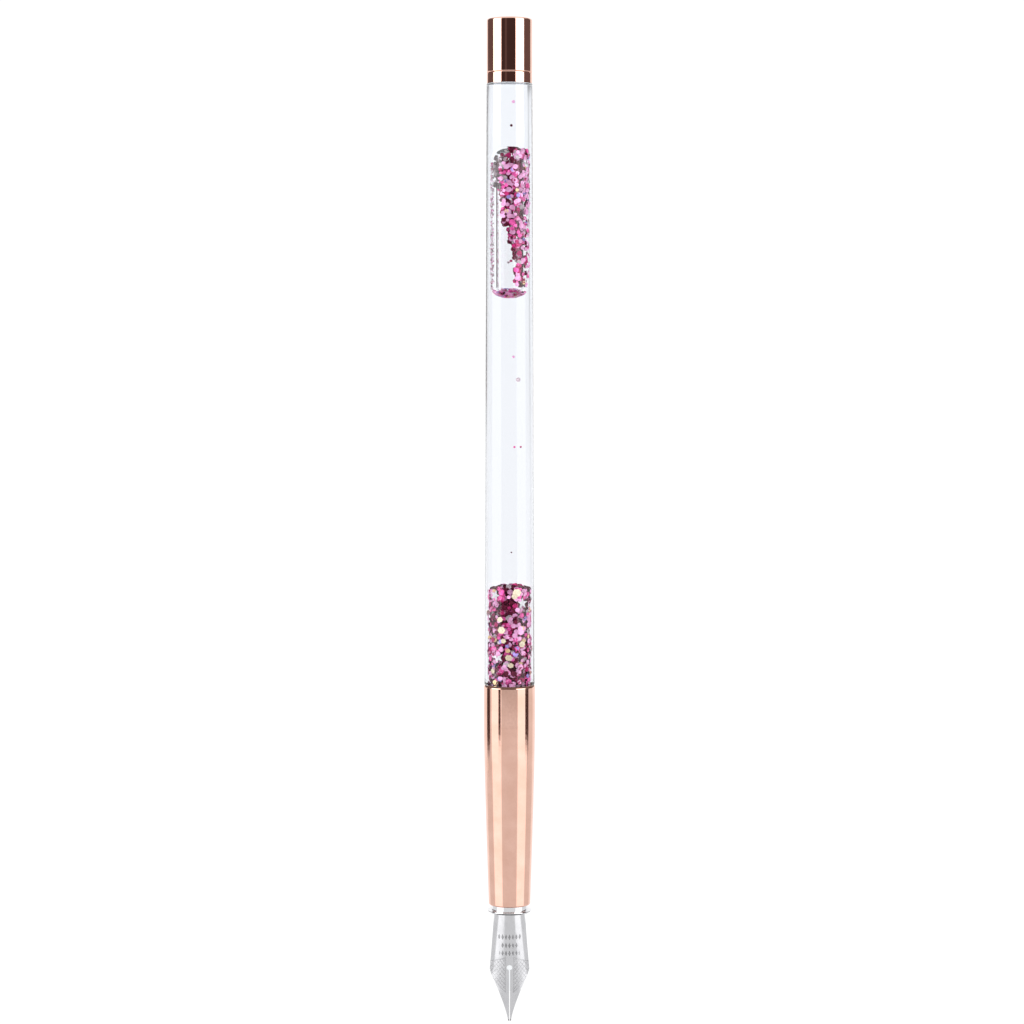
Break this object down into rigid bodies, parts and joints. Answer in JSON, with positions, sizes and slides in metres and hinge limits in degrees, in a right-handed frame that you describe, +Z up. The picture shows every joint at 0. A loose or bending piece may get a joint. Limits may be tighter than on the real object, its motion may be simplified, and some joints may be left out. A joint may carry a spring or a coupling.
{
  "type": "dip pen",
  "caption": "Nib pen with a clear barrel of oil, loose glitter and a long air bubble, a metal grip that unscrews and a pull-out steel nib and feed.",
  "frame": {"origin": "on the barrel's axis, level with the writing tip", "axes": "+Z up the barrel's axis from the writing tip to the rear cap; -Y is the way the nib's slit and face look; +X follows by the right-hand rule"},
  "size_m": [0.0086, 0.0086, 0.1684],
  "materials": {
    "nib_steel": "polished stamped steel with engraved ornament",
    "tipping": "ground hard tipping metal",
    "feed_clear": "clear moulded plastic",
    "housing": "moulded plastic",
    "ring_chrome": "bright chrome",
    "rose_gold": "polished rose-gold plating on brass",
    "brass": "machined brass",
    "washer": "thin brown rubber",
    "barrel_clear": "clear polished acrylic",
    "plug_plastic": "moulded plastic",
    "seal_rubber": "soft rubber",
    "oil": "clear oil, which has about this density",
    "glitter_pink": "metallised film flakes in pinks, lavender and champagne",
    "glitter_white": "pearl white film",
    "glitter_gold": "metallised champagne gold film"
  },
  "bodies": {
    "barrel": {"barrel_tube": "barrel_clear", "front_plug": "brass", "front_seal": "seal_rubber", "rear_plug": "plug_plastic", "rear_seal": "seal_rubber", "rear_band": "rose_gold", "rear_cap": "rose_gold", "oil_fill": "oil", "loose_flakes": "glitter_pink"},
    "washer": {"joint_washer": "washer"},
    "grip": {"grip_sleeve": "rose_gold", "thread_insert": "brass", "nib_housing": "housing", "trim_ring": "ring_chrome"},
    "nib_unit": {"nib": "nib_steel", "nib_tipping": "tipping", "feed": "feed_clear"},
    "settled_glitter": {"glitter_bed": "glitter_pink", "star_charms": "glitter_white", "gold_flakes": "glitter_gold"},
    "air_bubble": {"bubble_glitter": "glitter_pink"}
  },
  "joints": [
    {"name": "grip_draw", "type": "slide", "parent": "barrel", "child": "washer", "axis": [0, 0, -1], "range_m": [0, 0.0048]},
    {"name": "grip_turn", "type": "hinge", "parent": "washer", "child": "grip", "pos_m": [0, 0, 0.053], "axis": [0, 0, -1], "range_deg": [0, 2160]},
    {"name": "nib_pull", "type": "slide", "parent": "grip", "child": "nib_unit", "axis": [0, 0, -1], "range_m": [0, 0.018]},
    {"name": "glitter_flow", "type": "slide", "parent": "barrel", "child": "settled_glitter", "axis": [0, 0, 1], "range_m": [0, 0.047], "deforming": ["oil_fill"]},
    {"name": "bubble_rise", "type": "slide", "parent": "barrel", "child": "air_bubble", "axis": [0, 0, 1], "range_m": [0, 0.0105]}
  ],
  "couplings": [
    {"joint": "grip_turn", "follows": "grip_draw", "rad_per_m": 7854}
  ]
}
